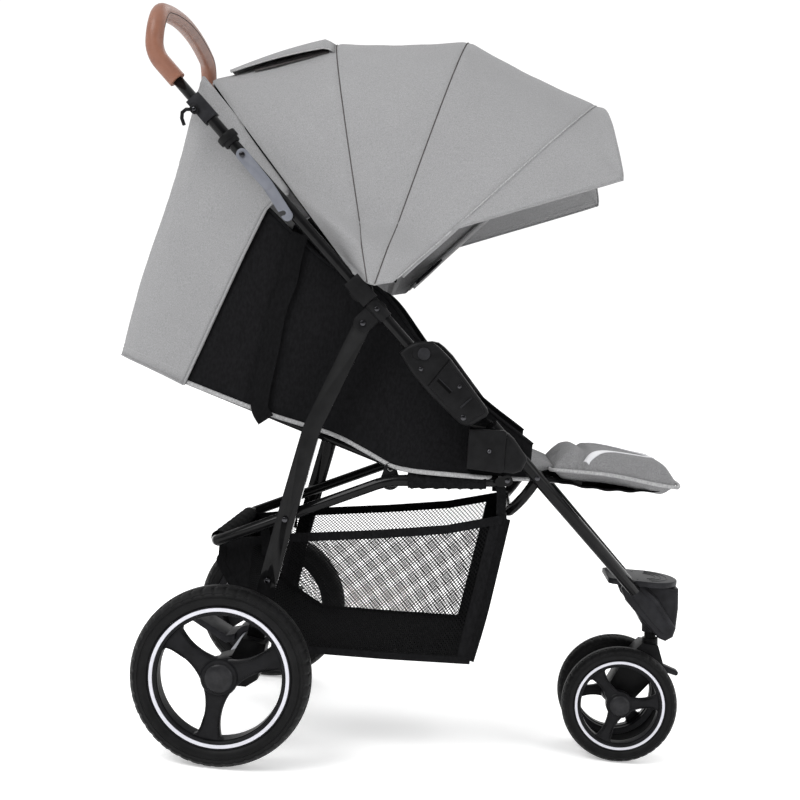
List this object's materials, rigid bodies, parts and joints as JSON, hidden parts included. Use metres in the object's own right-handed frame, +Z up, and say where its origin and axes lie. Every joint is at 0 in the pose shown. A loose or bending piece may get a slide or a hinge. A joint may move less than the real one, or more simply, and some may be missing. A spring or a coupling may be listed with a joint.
{
  "type": "jogging stroller",
  "caption": "Three-wheel folding stroller with a reclining seat, folding canopy, under-seat basket, arched handle and swivelling front wheels.",
  "frame": {"origin": "on the ground, under the middle of the part's length and width", "axes": "+X forwards, +Y to the rider's left, +Z up"},
  "size_m": [0.883, 0.591, 1.112],
  "materials": {
    "frame_black": "gloss powder coat",
    "black_plastic": "moulded, fine texture",
    "wheel_plastic": "moulded, satin",
    "grey_metal": "satin grey",
    "grey_plastic": "moulded",
    "rivet_steel": "polished",
    "tyre_rubber": "matt foam tyre",
    "tan_leather": "smooth, satin",
    "grey_melange": "heather weave",
    "black_fabric": "plain weave",
    "mesh_black": "open mesh"
  },
  "bodies": {
    "upper_frame": {"upper_tubes": "frame_black", "lock_collars": "black_plastic", "latch_housings": "black_plastic", "leg_brackets": "black_plastic", "canopy_mounts": "black_plastic", "fold_housings": "black_plastic", "frame_rivets": "rivet_steel", "canopy_rear_bow": "black_plastic", "canopy_rear_panel": "grey_melange", "rear_drape": "grey_melange", "side_panels": "black_fabric", "back_straps": "black_fabric"},
    "release_button_left": {"release_button_left": "black_plastic"},
    "release_button_right": {"release_button_right": "black_plastic"},
    "handle": {"handle_tube": "frame_black", "handle_grip": "tan_leather"},
    "latch_lever_left": {"latch_lever_left": "black_plastic"},
    "latch_lever_right": {"latch_lever_right": "black_plastic"},
    "lock_hook": {"lock_hook": "grey_metal"},
    "front_legs": {"front_leg_tubes": "frame_black", "front_cross_tube": "frame_black", "knee_blocks": "black_plastic", "front_hub": "black_plastic", "swivel_bushes": "grey_plastic", "front_leg_rivets": "rivet_steel"},
    "caster": {"caster_fork": "frame_black", "front_axle": "rivet_steel"},
    "swivel_lock": {"swivel_lock_lever": "grey_plastic"},
    "front_wheel_left": {"front_tyre_left": "tyre_rubber", "front_rim_left": "wheel_plastic"},
    "front_wheel_right": {"front_tyre_right": "tyre_rubber", "front_rim_right": "wheel_plastic"},
    "rear_wheel_left": {"rear_tyre_left": "tyre_rubber", "rear_rim_left": "wheel_plastic", "rear_cap_left": "wheel_plastic"},
    "rear_wheel_right": {"rear_tyre_right": "tyre_rubber", "rear_rim_right": "wheel_plastic", "rear_cap_right": "wheel_plastic"},
    "rear_legs": {"rear_leg_tubes": "frame_black", "axle_housings": "black_plastic", "rear_axle": "frame_black", "leg_rivets": "rivet_steel"},
    "brake": {"brake_pedal": "black_plastic"},
    "seat_base": {"base_tube": "frame_black", "base_cross_tubes": "frame_black", "base_brackets": "black_plastic", "basket": "mesh_black", "seat_pad": "grey_melange", "harness_buckle": "black_plastic"},
    "backrest": {"backrest_frame": "frame_black", "backrest_pad": "grey_melange", "harness_straps": "black_fabric"},
    "legrest": {"legrest_frame": "frame_black", "legrest_pad": "grey_melange"},
    "canopy_mid": {"canopy_bow_2": "black_plastic", "canopy_panel_2": "grey_melange"},
    "canopy_fore": {"canopy_bow_3": "black_plastic", "canopy_panel_3": "grey_melange"},
    "canopy_front": {"canopy_bow_4": "black_plastic", "canopy_cover": "grey_melange"}
  },
  "joints": [
    {"name": "front_fold", "type": "hinge", "parent": "upper_frame", "child": "front_legs", "pos_m": [0.0645, 0, 0.525], "axis": [0, 1, 0], "range_deg": [0, 115], "deforming": ["rear_drape", "side_panels", "back_straps", "basket"]},
    {"name": "rear_fold", "type": "hinge", "parent": "upper_frame", "child": "rear_legs", "pos_m": [-0.092, 0, 0.647], "axis": [0, 1, 0], "range_deg": [0, 71.3]},
    {"name": "seat_fold", "type": "hinge", "parent": "front_legs", "child": "seat_base", "pos_m": [0.137, 0, 0.437], "axis": [0, -1, 0], "range_deg": [0, 77.05]},
    {"name": "backrest_recline", "type": "hinge", "parent": "seat_base", "child": "backrest", "pos_m": [-0.036, 0, 0.437], "axis": [0, 1, 0], "range_deg": [0, 46]},
    {"name": "legrest_tilt", "type": "hinge", "parent": "seat_base", "child": "legrest", "pos_m": [0.247, 0, 0.437], "axis": [0, 1, 0], "range_deg": [0, 38]},
    {"name": "canopy_fold", "type": "hinge", "parent": "upper_frame", "child": "canopy_mid", "pos_m": [-0.09895, 0, 0.69375], "axis": [0, -1, 0], "range_deg": [0, 24]},
    {"name": "canopy_fold_fore", "type": "hinge", "parent": "canopy_mid", "child": "canopy_fore", "pos_m": [-0.09895, 0, 0.69375], "axis": [0, -1, 0], "range_deg": [0, 24]},
    {"name": "canopy_fold_front", "type": "hinge", "parent": "canopy_fore", "child": "canopy_front", "pos_m": [-0.09895, 0, 0.69375], "axis": [0, -1, 0], "range_deg": [0, 24]},
    {"name": "handle_slide", "type": "slide", "parent": "upper_frame", "child": "handle", "axis": [-0.7218, 0, 0.6921], "range_m": [0, 0.08]},
    {"name": "latch_lever_left_open", "type": "hinge", "parent": "upper_frame", "child": "latch_lever_left", "pos_m": [-0.35878, 0, 0.93046], "axis": [0, -1, 0], "range_deg": [0, 55]},
    {"name": "latch_lever_right_open", "type": "hinge", "parent": "upper_frame", "child": "latch_lever_right", "pos_m": [-0.35878, 0, 0.93046], "axis": [0, -1, 0], "range_deg": [0, 55]},
    {"name": "hook_swing", "type": "hinge", "parent": "upper_frame", "child": "lock_hook", "pos_m": [-0.28516, 0, 0.87232], "axis": [0, 1, 0], "range_deg": [0, 60]},
    {"name": "release_button_left_press", "type": "slide", "parent": "upper_frame", "child": "release_button_left", "axis": [0, -1, 0], "range_m": [0, 0.0035], "stiffness_N_per_m": 800},
    {"name": "release_button_right_press", "type": "slide", "parent": "upper_frame", "child": "release_button_right", "axis": [0, 1, 0], "range_m": [0, 0.0035], "stiffness_N_per_m": 800},
    {"name": "caster_swivel", "type": "hinge", "parent": "front_legs", "child": "caster", "pos_m": [0.392, 0, 0.202], "axis": [-0.0906, 0, 0.9959], "continuous": true},
    {"name": "swivel_lock_tilt", "type": "hinge", "parent": "caster", "child": "swivel_lock", "pos_m": [0.404, 0, 0.148], "axis": [0, 1, 0], "range_deg": [0, 18]},
    {"name": "front_wheel_left_spin", "type": "hinge", "parent": "caster", "child": "front_wheel_left", "pos_m": [0.348, 0, 0.09], "axis": [0, 1, 0], "continuous": true},
    {"name": "rear_wheel_left_spin", "type": "hinge", "parent": "rear_legs", "child": "rear_wheel_left", "pos_m": [-0.246, 0, 0.13], "axis": [0, 1, 0], "continuous": true},
    {"name": "front_wheel_right_spin", "type": "hinge", "parent": "caster", "child": "front_wheel_right", "pos_m": [0.348, 0, 0.09], "axis": [0, 1, 0], "continuous": true},
    {"name": "rear_wheel_right_spin", "type": "hinge", "parent": "rear_legs", "child": "rear_wheel_right", "pos_m": [-0.246, 0, 0.13], "axis": [0, 1, 0], "continuous": true},
    {"name": "brake_press", "type": "hinge", "parent": "rear_legs", "child": "brake", "pos_m": [-0.246, 0, 0.13], "axis": [0, -1, 0], "range_deg": [0, 12]}
  ],
  "couplings": [
    {"joint": "rear_fold", "follows": "front_fold", "ratio": 0.62},
    {"joint": "seat_fold", "follows": "front_fold", "ratio": 0.67},
    {"joint": "canopy_fold_fore", "follows": "canopy_fold", "ratio": 1},
    {"joint": "canopy_fold_front", "follows": "canopy_fold", "ratio": 1}
  ]
}
